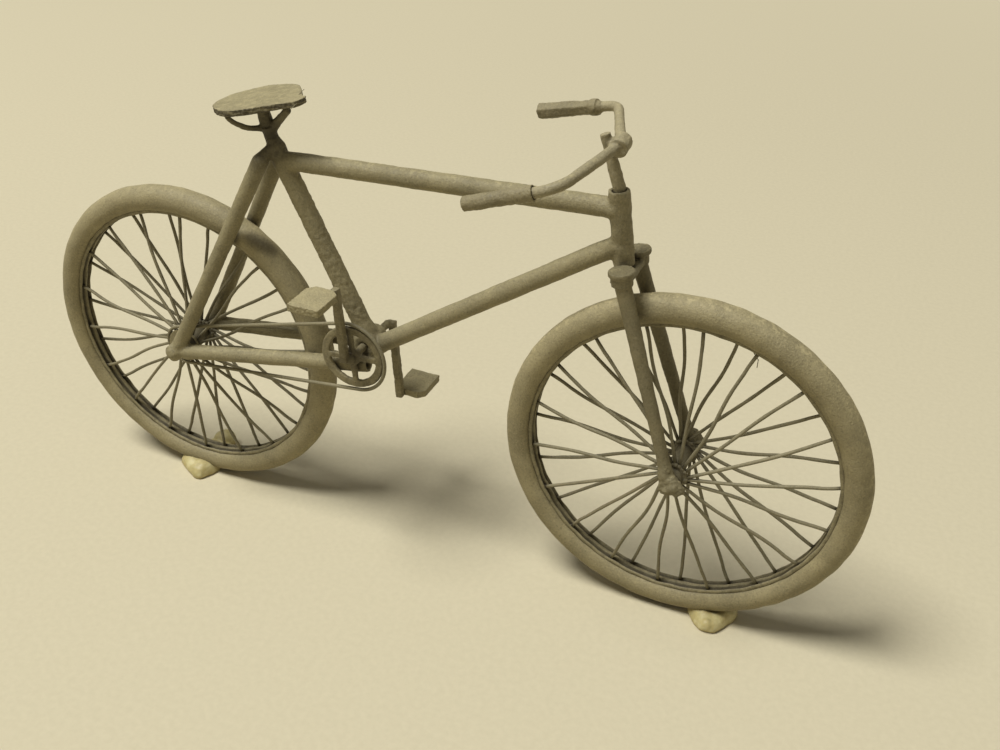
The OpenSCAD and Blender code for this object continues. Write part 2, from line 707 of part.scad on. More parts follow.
// One loop of wire round the sprocket and the chainring, clear of both
module chain() color(paint_light) {
    from = rear_axle_at - [0, sprocket_y, 0];
    to = bb_at - [0, ring_y, 0];
    ex = unit(to - from);
    ez = unit(cross(ex, [0, 0, 1]));
    run = norm(to - from);
    r0 = sprocket_d / 2 + side_gap + chain_d / 2;
    r1 = ring_d / 2 + side_gap + chain_d / 2;
    tilt = asin((r1 - r0) / run);
    placed(from, ex, cross(ez, ex), ez) {
        rotate(90 + tilt)
            rotate_extrude(angle = 180 - 2 * tilt) translate([r0, 0]) circle(d = chain_d * bend_swell);
        translate([run, 0, 0]) rotate(-90 - tilt)
            rotate_extrude(angle = 180 + 2 * tilt) translate([r1, 0]) circle(d = chain_d * bend_swell);
        for (side = [-1, 1]) {
            start = [-r0 * sin(tilt), side * r0 * cos(tilt), 0];
            end = [run - r1 * sin(tilt), side * r1 * cos(tilt), 0];
            lap = bend_lap * unit(end - start);
            rod(start - lap, end + lap, chain_d, chain_d);
        }
    }
}

// Putty

// Lumps of each pad: forward, left and up from the pad's middle, and radius
REAR_LUMPS = [[-0.8, 0, 0, 2.6], [0.6, -2.2, 0.2, 2.0], [-2.2, -1.6, 0.2, 2.3],
              [-1.4, 3.9, 0.5, 2.1], [-2.6, 1.4, 0.2, 2.2]];
FRONT_LUMPS = [[-1.0, -1.6, 0.2, 2.0], [0.9, -1.2, 0, 2.2], [1.4, 0.9, 0.1, 2.1], [-0.8, 1.4, 0, 1.9]];

// Lumps pressed flat on the floor, with a groove that clears the tyre
module putty(at, lumps, wheel_at) color(putty_colour) difference() {
    for (lump = lumps) translate([at.x + lump[0], at.y + lump[1], lump[2]]) sphere(r = lump[3]);
    translate([at.x - wheel_d / 2, at.y - wheel_d / 2, -wheel_d]) cube([wheel_d, wheel_d, wheel_d]);
    translate(wheel_at) rotate([90, 0, 0])
        rotate_extrude() translate([tyre_r, 0]) circle(d = tyre_d + 2 * side_gap);
}
module putty_rear() putty(rear_axle_at, REAR_LUMPS, rear_axle_at);
module putty_front() putty(front_axle_at + [front_pad_ahead, 0, 0], FRONT_LUMPS, front_axle_at);

head_tube();
top_tube();
down_tube();
seat_tube();
bottom_bracket();
chain_stay_right();
chain_stay_left();
seat_stay_right();
seat_stay_left();
rear_dropouts();
rear_axle();
seat_post();
saddle_struts();
saddle_plate();
chain();
putty_rear();
fork_crown();
fork_blade_right();
fork_blade_left();
fork_tips();
front_axle();
stem();
bar_clamp();
handlebar();
grip_right();
grip_left();
putty_front();
front_tyre();
front_rim();
front_hub();
rear_tyre();
rear_rim();
rear_hub();
rear_sprocket();
chainring();
crank_axle();
crank_right();
crank_left();
pedal_right();
pedal_left();
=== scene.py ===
"""Looks of a hand-built scale model of a bicycle, sprayed grey-olive and stood in two dabs of putty."""

import json
import math
import random

import bpy
import numpy as np
from mathutils import Matrix, Vector, noise

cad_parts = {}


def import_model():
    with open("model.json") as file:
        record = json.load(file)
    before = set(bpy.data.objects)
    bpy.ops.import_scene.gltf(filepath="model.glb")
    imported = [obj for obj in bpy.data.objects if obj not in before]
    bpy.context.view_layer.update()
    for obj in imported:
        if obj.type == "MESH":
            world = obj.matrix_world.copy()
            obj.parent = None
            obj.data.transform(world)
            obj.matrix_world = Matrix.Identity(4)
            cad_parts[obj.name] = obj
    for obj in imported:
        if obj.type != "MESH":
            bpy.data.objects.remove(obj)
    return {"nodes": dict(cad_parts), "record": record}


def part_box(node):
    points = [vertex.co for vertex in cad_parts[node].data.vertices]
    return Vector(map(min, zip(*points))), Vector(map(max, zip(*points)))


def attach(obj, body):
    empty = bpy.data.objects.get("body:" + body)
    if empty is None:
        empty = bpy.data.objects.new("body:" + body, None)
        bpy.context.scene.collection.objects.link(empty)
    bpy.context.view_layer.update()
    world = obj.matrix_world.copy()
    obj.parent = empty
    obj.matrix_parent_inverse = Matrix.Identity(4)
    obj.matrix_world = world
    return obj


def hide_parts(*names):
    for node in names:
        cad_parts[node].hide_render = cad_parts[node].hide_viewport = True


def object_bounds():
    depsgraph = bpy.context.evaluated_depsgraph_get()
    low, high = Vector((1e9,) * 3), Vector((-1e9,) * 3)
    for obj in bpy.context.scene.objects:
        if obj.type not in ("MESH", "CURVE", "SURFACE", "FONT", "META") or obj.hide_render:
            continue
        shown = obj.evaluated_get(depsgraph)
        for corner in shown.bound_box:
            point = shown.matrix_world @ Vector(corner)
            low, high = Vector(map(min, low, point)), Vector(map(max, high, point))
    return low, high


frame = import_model()
cad_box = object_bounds()
nodes = frame["nodes"]

MM = 0.001
ACROSS = Vector((0, 1, 0))
UP = Vector((0, 0, 1))

# Colours as they look on the model under soft light from above
PAINT = (150, 140, 106)
WIRE = (136, 128, 100)
# WASH_AND_SHADE is the colour of wash and stains, and of painted shade in corners, grooves, sides and
# undersides, and of a painted shadow on the rear tyre
WASH_AND_SHADE = (52, 45, 32)
PUTTY = (190, 176, 121)
PUTTY_PALE = (211, 200, 149)
# PUTTY_SHADE is painted shade in the putty's folds
PUTTY_SHADE = (124, 106, 64)
PAPER = (216, 206, 174)

# Camera of the photograph, in millimetres from the floor under the rear axle
CAMERA_AT = Vector((87.615, -103.946, 100.221)) * MM
CAMERA_RIGHT = Vector((0.920849, 0.389244, 0.022950))
CAMERA_UP = Vector((-0.228033, 0.489855, 0.841453))
CAMERA_LENS = 39.306
SENSOR_WIDTH = 36.0

# Lamps, in metres from the middle of the model, and the light of the room
KEY_FROM = Vector((-0.57, -0.38, 1.57))
KEY_POWER = 29.0
FILL_FROM = Vector((0.6, -0.3, 0.9))
FILL_POWER = 0.2
LAMP_SIZE = 0.7
ROOM_TINT = (1, 0.97, 0.9, 1)
ROOM_POWER = 0.135

# Half the floor's width in metres, and the distances in millimetres from the model at which the floor starts
# to pass into the background and is all of it
FLOOR_HALF = 2
BACKDROP_STARTS = 180
BACKDROP_FULL = 500

# Wheels, in millimetres and degrees, where the boxes of the solids don't give them
SPOKE_PAIRS = 18
FIRST_PAIR = 12
PAIR_ANGLE = 8
SPOKE_LEAN = 25
LEAN_SCATTER = 8
SPOKE_R = 0.21
SPOKE_RIM_Y = 0.5
ROOT_INSET = 0.2
TIP_INSET = 0.35
HUB_R = 1.0
FLANGE_R = 1.6
FLANGE_Y = {"front": 2.6, "rear": 2.0}
TYRE_EDGE_Y = 1.12
LIP_INSET = 0.12

# Half of a rim's outline from lip to middle: depth below the tyre's seat, and distance in from the lip
RIM_PROFILE = ((-0.1, 0), (0.5, 0), (0.66, 0.08), (0.66, 0.2), (0.2, 0.28), (0.15, 0.65), (0.62, 0.74),
               (0.7, 0.85))
# Where the painted shade in a rim's groove starts and ends, in millimetres across from the wheel's middle
GROOVE_INNER = 0.2
GROOVE_OUTER = 0.8

# A hub flange's outline: distance along the axle, and change of its radius
FLANGE_PROFILE = ((-0.25, -0.15), (-0.1, 0), (0.1, 0), (0.25, -0.15))

# How a spoke is bent at most: its bow, its wave, the shift of that wave, and its hook close to the rim
SPOKE_BENDS = (0.4, 0.32, 0.3, 0.16)
SPOKE_STEPS = 16
HOOK_AT = 0.9
HOOK_SPREAD = 0.07
WAVE_ACROSS = 0.3

# Steps round the tyres and rims, their unevenness in millimetres, and the seeds of all that is left to chance
TYRE_STEPS = 240
TYRE_SIDES = 28
TYRE_WOBBLE = 0.08
RIM_STEPS = 300
RIM_WOBBLE = 0.1
WOBBLES_PER_MM = 0.55
TYRE_SEED = {"front": 3, "rear": 17}
RIM_SEED = {"front": 5, "rear": 23}
SPOKE_SEED = {"front": 4, "rear": 11}
LINT_SEED = 8
NOISE_SEED = 1

# How much of each tyre's crown is rubbed, and a painted shadow of the right seat stay on the rear tyre, in
# millimetres
TYRE_RUB = {"front": 0.6, "rear": 0.3}
STAY_SHADOW_SPOTS = {"front": (), "rear": ((12.0, -1.2, 40.3), (13.1, -0.9, 39.7), (14.2, -0.5, 38.9))}
STAY_SHADOW_REACH = 1.4
STAY_SHADOW_DEPTH = 0.55

# A hair caught on the front wheel, and how thick it and the lint are, in millimetres
HAIR = ((74.8, 0, 39.4), (75.6, 0, 38.4), (75.6, 0, 37.4))
HAIR_R = 0.05
LINT_R = 0.035

# The saddle's post, struts and rail as bent by hand: forward, left and up from the floor under the rear
# axle, and the radius there, in millimetres
POST = ((16.3, 0, 51.2, 1.3), (16.1, 0, 52.3, 1.15), (15.8, 0, 53.0, 0.92), (15.55, 0, 53.6, 0.84),
        (15.4, 0, 54.2, 0.84), (15.3, 0, 54.9, 1.05))
REAR_STRUT = ((15.3, 0, 54.4, 0.8), (15.0, 0, 55.4, 0.85), (14.7, 0, 56.6, 0.75), (14.6, 0, 57.2, 0.75))
FRONT_STRUT = ((15.6, 0, 54.6, 0.7), (16.6, 0, 55.7, 0.52), (18.0, 0, 57.2, 0.48), (18.2, 0, 57.4, 0.45))
RAIL = ((15.2, 0, 54.8, 0.6), (14.4, -0.7, 54.75, 0.4), (13.6, -1.8, 55.0, 0.34), (13.0, -3.2, 55.85, 0.33),
        (12.7, -4.1, 56.7, 0.33), (12.7, -4.3, 57.0, 0.33))
RIDGE = (16.9, 0, 52.75, 0.45)

# The saddle's nose starts this far before its post, and loses this share of its length
NOSE_STARTS = 3.4
NOSE_CUT = 0.4

# How the frame was cut and bent by hand: the seat tube's end, both seat stays' lean to the rear at their
# upper ends, and the left one's pull towards the seat tube there, in millimetres
SEAT_TUBE_CUT = 1.0
STAY_LEAN = {"seat_stay_right": 1.2, "seat_stay_left": 0.55}
STAY_PULL = Vector((0.3, 1, 0.3)) * 1.1
PULL_REACH = 5.0
SHOULDER_STARTS = 2.5
SHOULDER_RADII = (1, 0.9, 0.6, 0.4)
DROPOUT_Y = 4.2
BOSS_OUT = 0.7
BOSS_R = 1.0

# Steering, in millimetres: the glue pinched round a fork tip has places from the tip, and a radius at each
FORK_TIP_Y = 4.8
PINCHED_GLUE = ((-0.1, 0, 1.3, 0.7), (0.4, 0, 0.2, 1.05), (1.2, 0, -0.2, 0.9), (1.9, 0, -0.1, 0.4))
PINCH_OUT = 0.25
CLAMP_SCALE = 0.88

# The left grip's ferrule: places along the grip from its front end, and the radius at each, in millimetres
FERRULE = ((-0.4, 0.85), (0.6, 0.6))

# Glue on the crank axle's ends: the right one's radius, and the left one's place and radius, in millimetres
RIGHT_CAP_R = 0.75
LEFT_CAP = (0.3, 0, -0.2, 0.6)

# A collar of glue starts behind the tube's end, has a waist and ends under the tube's surface
COLLAR_BACK = 0.3
COLLAR_WAIST = 0.45
COLLAR_TUCK = 0.08
GLUE_SPREAD = 2.2
CHIP_SIZE = 0.3

# Outlines of the putty dabs on the floor, anticlockwise, forward and to the left in millimetres, the place
# and radius of the lump that was pinched up on each, and their heights
REAR_DAB = ((-5.0, -0.9), (-4.3, -2.1), (-2.6, -3.1), (-0.8, -3.9), (0.3, -3.7), (1.0, -2.4), (1.5, -0.8),
            (1.2, 1.8), (0.4, 4.6), (-2.0, 5.4), (-4.2, 2.6))
FRONT_DAB = ((72.3, 0.4), (72.8, -1.3), (73.6, -2.3), (74.6, -3.3), (75.6, -3.25), (76.6, -2.9), (77.6, -1.2),
             (78.6, 1.0), (77.2, 2.6), (73.8, 2.3))
REAR_LUMP = (-1.3, 4.7, 1.1, 1.7)
FRONT_LUMP = (75.2, -2.7, 1.0, 0.8)
REAR_DAB_HEIGHT = 2.1
FRONT_DAB_HEIGHT = 1.9

# A dab's dome, as shares of its height and its outline
DAB_RINGS = ((0.0, 0.97), (0.2, 1.0), (0.45, 0.97), (0.7, 0.87), (0.88, 0.7), (1.0, 0.42))


def linear(rgb):
    """An 8-bit screen colour as the linear colour that shaders take."""
    def channel(c):
        c /= 255
        return c / 12.92 if c <= 0.04045 else ((c + 0.055) / 1.055) ** 2.4
    return (*map(channel, rgb), 1.0)


def tone(rgb, factor):
    """A colour made lighter or darker."""
    return tuple(min(255, round(c * factor)) for c in rgb)


def metres(point):
    """A place written in millimetres, which may have a radius behind it."""
    return Vector(point[:3]) * MM


# Places read from the frame

def middle(node):
    """The middle of a solid's box."""
    low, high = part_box(node)
    return (low + high) / 2


def half_size(node):
    """Half the sides of a solid's box."""
    low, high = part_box(node)
    return (high - low) / 2


front_axle = middle("front_axle")
rear_axle = middle("rear_axle")
axles = {"front": front_axle, "rear": rear_axle}
wheel_r = half_size("front_tyre").z
tyre_half_w = half_size("front_tyre").y
rim_r = half_size("front_rim").z


# Materials

class Shader:
    """A new material with a few short ways to add and join nodes."""

    def __init__(self, name):
        self.material = bpy.data.materials.new(name)
        self.material.use_nodes = True
        self.tree = self.material.node_tree
        self.tree.nodes.clear()
        self.bsdf = self.add("ShaderNodeBsdfPrincipled")
        self.output = self.add("ShaderNodeOutputMaterial")
        self.join(self.bsdf.outputs[0], self.output.inputs[0])
        self.place = self.add("ShaderNodeTexCoord")
        scale = self.add("ShaderNodeVectorMath", operation="SCALE")
        scale.inputs["Scale"].default_value = 1 / MM
        self.join(self.place.outputs["Object"], scale.inputs[0])
        self.millimetres = scale.outputs[0]

    def add(self, kind, **settings):
        """A new node."""
        node = self.tree.nodes.new(kind)
        for key, value in settings.items():
            setattr(node, key, value)
        return node

    def join(self, output, socket):
        """A link between two nodes."""
        self.tree.links.new(output, socket)

    def noise(self, size, detail=3.0, roughness=0.55, stretch=None):
        """Noise whose lumps are about size millimetres across."""
        node = self.add("ShaderNodeTexNoise")
        node.inputs["Scale"].default_value = 1 / size
        node.inputs["Detail"].default_value = detail
        node.inputs["Roughness"].default_value = roughness
        source = self.millimetres
        if stretch:
            mapping = self.add("ShaderNodeMapping")
            mapping.inputs["Scale"].default_value = stretch
            self.join(source, mapping.inputs[0])
            source = mapping.outputs[0]
        self.join(source, node.inputs["Vector"])
        return node.outputs["Fac"]

    def ramp(self, source, *stops):
        """Colours, or grey levels, at positions along a 0 to 1 input."""
        node = self.add("ShaderNodeValToRGB")
        elements = node.color_ramp.elements
        while len(elements) < len(stops):
            elements.new(0.5)
        for element, (position, value) in zip(elements, stops):
            grey = (value, value, value, 1)
            element.position = position
            element.color = linear(value) if isinstance(value, tuple) else grey
        self.join(source, node.inputs[0])
        return node.outputs[0]

    def mix(self, factor, a, b):
        """Two colours mixed; each may be a screen colour or another node's output."""
        node = self.add("ShaderNodeMix", data_type="RGBA")
        sockets = {s.identifier: s for s in node.inputs}
        for value, key in ((factor, "Factor_Float"), (a, "A_Color"), (b, "B_Color")):
            socket = sockets[key]
            if isinstance(value, bpy.types.NodeSocket):
                self.join(value, socket)
            else:
                socket.default_value = linear(value) if isinstance(value, tuple) else value
        return next(s for s in node.outputs if s.identifier == "Result_Color")

    def fade(self, source, start, end, first, last):
        """Goes from first to last as the source goes from start to end."""
        node = self.add("ShaderNodeMapRange")
        for key, value in (("From Min", start), ("From Max", end), ("To Min", first), ("To Max", last)):
            node.inputs[key].default_value = value
        self.join(source, node.inputs["Value"])
        return node.outputs[0]

    def both(self, a, b):
        """Two masks multiplied."""
        node = self.add("ShaderNodeMath", operation="MULTIPLY")
        self.join(a, node.inputs[0])
        self.join(b, node.inputs[1])
        return node.outputs[0]

    def vector(self, operation, source, constant):
        """A vector worked on with a constant one."""
        node = self.add("ShaderNodeVectorMath", operation=operation)
        self.join(source, node.inputs[0])
        node.inputs[1].default_value = constant
        return node.outputs["Vector" if operation == "MULTIPLY" else "Value"]

    def facing(self, way):
        """1 on faces that look along a direction, -1 on those that look the other way."""
        return self.vector("DOT_PRODUCT", self.place.outputs["Normal"], way)

    def patches(self, size, depth):
        """Ragged patches about size millimetres across."""
        return self.ramp(self.noise(size, detail=5, roughness=0.7), (0.5, 0.0), (0.62, depth))

    def recesses(self, reach):
        """1 in the open, falling to 0 in corners closer than reach millimetres."""
        node = self.add("ShaderNodeAmbientOcclusion", samples=4)
        node.inputs["Distance"].default_value = reach * MM
        return node.outputs["AO"]

    def bump(self, *layers):
        """Bumps laid over each other: each is a height output, its depth in millimetres and its strength."""
        normal = None
        for height, depth, strength in layers:
            node = self.add("ShaderNodeBump")
            node.inputs["Strength"].default_value = strength
            node.inputs["Distance"].default_value = depth * MM
            self.join(height, node.inputs["Height"])
            if normal:
                self.join(normal, node.inputs["Normal"])
            normal = node.outputs[0]
        self.join(normal, self.bsdf.inputs["Normal"])


def paint(name, base, *extras, shade_depth=0.8, shade_reach=1.2, grain=1.0):
    """Matt spray paint: faintly mottled and gritty, with painted shade on faces that turn from up and in the
    corners.
    """
    s = Shader(name)
    mottle = s.ramp(s.noise(4.5, detail=4), (0.3, tone(base, 0.92)), (0.5, base), (0.72, tone(base, 1.08)))
    grit = s.noise(0.24, detail=3)
    coat = s.mix(s.ramp(grit, (0.54, 0.0), (0.72, 0.5)), mottle, tone(base, 1.2))
    coat = s.mix(s.ramp(grit, (0.28, 0.55), (0.45, 0.0)), coat, tone(base, 0.72))
    # Painted shade: faces that turn away from up are darkened, most of all those that face down
    coat = s.mix(s.fade(s.facing(UP), -0.3, 0.7, 0.26, 0.0), coat, WASH_AND_SHADE)
    for extra in extras:
        coat = extra(s, coat)
    # Painted shade: corners darken by how closely other surfaces crowd round them
    shade = s.ramp(s.recesses(shade_reach), (0.25, shade_depth), (0.85, 0.0))
    s.join(s.mix(shade, coat, WASH_AND_SHADE), s.bsdf.inputs["Base Color"])
    s.join(s.ramp(s.noise(0.6), (0.3, 0.52), (0.7, 0.72)), s.bsdf.inputs["Roughness"])
    s.bsdf.inputs["Specular IOR Level"].default_value = 0.35
    s.bump((s.noise(0.9, detail=4), 0.14, 0.35 * grain), (s.noise(0.18, detail=2), 0.08, grain))
    return s.material


def stains_and_shadow(*places):
    """Darkening spread round some places, each with its reach in millimetres and its depth: stains at glued
    joints, a darker hub, and a painted shadow on the rear tyre.
    """
    def more(s, coat):
        for at, reach, depth in places:
            gap = s.vector("DISTANCE", s.millimetres, at / MM)
            coat = s.mix(s.fade(gap, 0.3 * reach, reach, depth, 0.0), coat, WASH_AND_SHADE)
        return coat
    return more


def dark_edges_and_shade(way):
    """Dark edges, in thin layers, on faces that turn away from a direction: partly the raw cut edge's own
    colour, partly painted shade on the sides and underside.
    """
    def more(s, coat):
        layers = s.ramp(s.noise(0.7, stretch=(0.35, 0.35, 2.5)), (0.4, 0.35), (0.58, 1.0))
        return s.mix(s.both(s.fade(s.facing(way), 0.35, 0.8, 0.85, 0.0), layers), coat, WASH_AND_SHADE)
    return more


def top_highlight(base, depth):
    """Painted highlight: paint made pale in small patches where it faces up."""
    def more(s, coat):
        top = s.fade(s.facing(UP), 0.6, 0.95, 0.0, 1.0)
        return s.mix(s.both(top, s.patches(0.9, depth)), coat, tone(base, 1.24))
    return more


def scuffed(base, axle, depth):
    """Paint rubbed pale in patches along the crown of a tyre."""
    def more(s, coat):
        flat = s.vector("MULTIPLY", s.millimetres, (1, 0, 1))
        radius = s.vector("DISTANCE", flat, axle / MM)
        crown = s.fade(radius, wheel_r / MM - 0.6, wheel_r / MM - 0.1, 0.0, 1.0)
        return s.mix(s.both(crown, s.patches(0.8, depth)), coat, tone(base, 1.28))
    return more


def groove_shade(inner, outer, depth):
    """Painted shade in a groove, between two distances from the middle of a wheel, in millimetres."""
    def more(s, coat):
        across = s.vector("DOT_PRODUCT", s.millimetres, ACROSS)
        square = s.both(across, across)
        beyond = s.fade(square, inner ** 2, (inner + 0.1) ** 2, 0.0, 1.0)
        within = s.fade(square, (outer - 0.1) ** 2, outer ** 2, depth, 0.0)
        return s.mix(s.both(beyond, within), coat, WASH_AND_SHADE)
    return more


def blotched(depth):
    """Wash dried in dark patches."""
    def more(s, coat):
        return s.mix(s.ramp(s.noise(1.0, detail=5, roughness=0.65), (0.45, 0.0), (0.65, depth)), coat, WASH_AND_SHADE)
    return more


def putty_finish():
    """Kneaded putty: creamy, a little waxy, with painted shade in its folds."""
    s = Shader("putty")
    kneaded = s.ramp(s.noise(1.6, detail=4), (0.3, tone(PUTTY, 0.92)), (0.48, PUTTY), (0.66, PUTTY_PALE))
    # Painted shade in the folds
    fold_shade = s.ramp(s.recesses(0.8), (0.3, 0.8), (0.85, 0.0))
    s.join(s.mix(fold_shade, kneaded, PUTTY_SHADE), s.bsdf.inputs["Base Color"])
    s.bsdf.inputs["Roughness"].default_value = 0.48
    s.bsdf.inputs["Subsurface Weight"].default_value = 0.12
    s.bsdf.inputs["Subsurface Radius"].default_value = metres((0.8, 0.6, 0.3))
    s.bump((s.noise(0.9), 0.15, 0.35), (s.noise(0.15), 0.02, 0.4))
    return s.material


def shown(tree):
    """1 for the rays that show the background to the camera, in a gloss or through glass."""
    path = tree.nodes.new("ShaderNodeLightPath")
    seen = path.outputs["Is Camera Ray"]
    for ray in ("Is Glossy Ray", "Is Transmission Ray"):
        either = tree.nodes.new("ShaderNodeMath")
        either.operation = "MAXIMUM"
        tree.links.new(seen, either.inputs[0])
        tree.links.new(path.outputs[ray], either.inputs[1])
        seen = either.outputs[0]
    return seen


def paper_finish():
    """Plain cream paper with a faint tooth, which runs out into the pale background."""
    s = Shader("paper")
    tooth = s.ramp(s.noise(0.8), (0.3, tone(PAPER, 0.985)), (0.7, tone(PAPER, 1.01)))
    s.join(tooth, s.bsdf.inputs["Base Color"])
    s.bsdf.inputs["Roughness"].default_value = 0.95
    s.bsdf.inputs["Specular IOR Level"].default_value = 0.1
    s.bump((s.noise(0.5), 0.01, 0.2))
    away = s.vector("DISTANCE", s.millimetres, (rear_axle + front_axle) / 2 / MM)
    backdrop = s.add("ShaderNodeEmission")
    backdrop.inputs["Color"].default_value = linear(PAPER)
    blend = s.add("ShaderNodeMixShader")
    s.join(s.both(s.fade(away, BACKDROP_STARTS, BACKDROP_FULL, 0.0, 1.0), shown(s.tree)), blend.inputs[0])
    s.join(s.bsdf.outputs[0], blend.inputs[1])
    s.join(backdrop.outputs[0], blend.inputs[2])
    s.join(blend.outputs[0], s.output.inputs[0])
    return s.material


stock_paint = paint("stock_paint", PAINT)
wire_paint = paint("wire_paint", WIRE, shade_depth=0.85, shade_reach=1.0, grain=0.7)
# Painted shade in the rims' grooves
rim_groove_shade = groove_shade(GROOVE_INNER, GROOVE_OUTER, 0.6)
rim_paint = paint("rim_paint", PAINT, rim_groove_shade, blotched(0.4), shade_depth=0.95, shade_reach=1.3)
putty = putty_finish()

SLOT_FINISH = {"painted_stock": stock_paint, "painted_wire": wire_paint, "painted_tyre": stock_paint,
               "putty": putty}
for part in frame["record"]["subparts"]:
    nodes[part["node"]].data.materials.clear()
    nodes[part["node"]].data.materials.append(SLOT_FINISH[part["material_slot"]])


# Shapes

def drawn(points, steps, closed=False):
    """A line drawn smoothly through points."""
    count = len(points)
    line = []
    for i in range(count if closed else count - 1):
        four = (i + k for k in (-1, 0, 1, 2))
        a, b, c, d = (Vector(points[k % count if closed else min(max(k, 0), count - 1)]) for k in four)
        for t in (k / steps for k in range(steps)):
            pull = (c - a) * t * (1 - t) ** 2 - (d - b) * t * t * (1 - t)
            line.append(b + (c - b) * t * t * (3 - 2 * t) + pull / 2)
    return line if closed else line + [Vector(points[-1])]


def stacked(rings, count):
    """Faces that join rings of count vertices into a closed tube."""
    last = (rings - 1) * count
    faces = [list(range(count))[::-1], list(range(last, last + count))]
    for ring in range(rings - 1):
        for k in range(count):
            a, b = ring * count + k, ring * count + (k + 1) % count
            faces.append([a, b, b + count, a + count])
    return faces


class Shape:
    """Vertices and faces gathered from tubes, balls, turned outlines and the frame's own solids."""

    def __init__(self):
        self.verts = []
        self.faces = []

    def add(self, verts, faces):
        """Vertices, and the faces that number them from 0."""
        base = len(self.verts)
        self.verts += [Vector(v) for v in verts]
        self.faces += [[base + i for i in face] for face in faces]

    def solid(self, node, scale=1.0):
        """A solid of the frame, which may be shrunk round its middle. Gives the vertices that it adds."""
        mesh = nodes[node].data
        heart = middle(node)
        self.add([heart.lerp(v.co, scale) for v in mesh.vertices], [list(p.vertices) for p in mesh.polygons])
        return self.verts[-len(mesh.vertices):]

    def bent(self, line):
        """A tube drawn smoothly through places in millimetres, each with its radius."""
        points = drawn(line, 5)
        self.tube([p.xyz * MM for p in points], [p.w * MM for p in points], 24)

    def tube(self, points, radii, sides=12):
        """A closed round tube through points, with a radius at each of them."""
        points = [Vector(p) for p in points]
        side = (points[1] - points[0]).orthogonal().normalized()
        rings = []
        for i, point in enumerate(points):
            along = (points[min(i + 1, len(points) - 1)] - points[max(i - 1, 0)]).normalized()
            side = (side - along * side.dot(along)).normalized()
            up = along.cross(side)
            turns = [2 * math.pi * k / sides for k in range(sides)]
            rings += [point + radii[i] * (math.cos(t) * side + math.sin(t) * up) for t in turns]
        self.add(rings, stacked(len(points), sides))

    def ball(self, at, radius, steps=6):
        """A round lump."""
        heights = [math.cos(math.pi * (i + 0.5) / steps) for i in range(steps)]
        points = [Vector(at) + ACROSS * radius * h for h in heights]
        self.tube(points, [radius * math.sqrt(1 - h * h) for h in heights], 2 * steps)

    def turned(self, at, outline, steps, wobble, seed):
        """A closed outline of radius and sideways pairs, in millimetres, turned round a wheel's axle."""
        count = len(outline)
        verts = []
        for i in range(steps):
            turn = 2 * math.pi * i / steps
            ray = Vector((math.cos(turn), 0, math.sin(turn)))
            for radius, across in outline:
                point = ray * radius + ACROSS * across
                off = noise.noise_vector(point * WOBBLES_PER_MM + Vector((seed, 0, 0)))
                verts.append(Vector(at) + MM * (point + wobble * off))
        faces = []
        for i in range(steps):
            for k in range(count):
                a, b = i * count + k, i * count + (k + 1) % count
                c, d = ((i + 1) % steps) * count + (k + 1) % count, ((i + 1) % steps) * count + k
                faces.append([a, d, c, b])
        self.add(verts, faces)


def build(name, shape, finish, slot, body, *replaced):
    """The piece itself: it rides on its body and stands in for the named solids."""
    mesh = bpy.data.meshes.new(name)
    mesh.from_pydata(shape.verts, [], shape.faces)
    mesh.materials.append(finish)
    mesh.polygons.foreach_set("use_smooth", [True] * len(mesh.polygons))
    piece = bpy.data.objects.new(name, mesh)
    bpy.context.scene.collection.objects.link(piece)
    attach(piece, body)
    if replaced:
        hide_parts(*replaced)


def uneven(*layers):
    """Noise in layers, each a depth and a lump size in millimetres."""
    return lambda at, normal: sum(depth * noise.noise(at / size) for depth, size in layers)


def lumpy(base, places, depth, size=0.9):
    """Unevenness that grows by depth close to some places, where glue was dabbed on."""
    spots = [place / MM for place in places]

    def more(at, normal):
        gap = min((at - spot).length for spot in spots)
        return base(at, normal) + depth * math.exp(-(gap / GLUE_SPREAD) ** 2) * noise.noise(at / size)
    return more


def chipped(base, way, depth):
    """Unevenness that grows by depth on faces that stand on edge."""
    def more(at, normal):
        return base(at, normal) + depth * (1 - abs(normal.dot(way))) * noise.noise(at / CHIP_SIZE)
    return more


def skin(shape, relief, voxel, relax):
    """One coat of paint over a whole shape: joints fill, edges soften, and the relief makes it uneven."""
    mesh = bpy.data.meshes.new("coat")
    mesh.from_pydata(shape.verts, [], shape.faces)
    coat = bpy.data.objects.new("coat", mesh)
    bpy.context.scene.collection.objects.link(coat)
    fuse = coat.modifiers.new("fuse", "REMESH")
    fuse.mode = "VOXEL"
    fuse.voxel_size = voxel * MM
    soften = coat.modifiers.new("soften", "SMOOTH")
    soften.factor = 0.5
    soften.iterations = relax
    done = bpy.data.meshes.new_from_object(coat.evaluated_get(bpy.context.evaluated_depsgraph_get()))
    bpy.data.objects.remove(coat)
    coated = Shape()
    coated.verts = [v.co + v.normal * relief(v.co / MM, v.normal) * MM for v in done.vertices]
    coated.faces = [list(p.vertices) for p in done.polygons]
    bpy.data.meshes.remove(done)
    return coated


def tube_line(node):
    """Both ends and the radius of a straight tube, found from its solid."""
    points = np.array([v.co for v in nodes[node].data.vertices])
    centre = points.mean(axis=0)
    axis = np.linalg.svd(points - centre, full_matrices=False)[2][0]
    along = (points - centre) @ axis
    radius = np.median(np.linalg.norm(points - centre - np.outer(along, axis), axis=1))
    return Vector(centre + along.min() * axis), Vector(centre + along.max() * axis), float(radius)


def tube_ends(node, axis):
    """Both ends of a straight tube, with the one that is further along x, y or z last."""
    return sorted(tube_line(node)[:2], key=lambda end: getattr(end, axis))


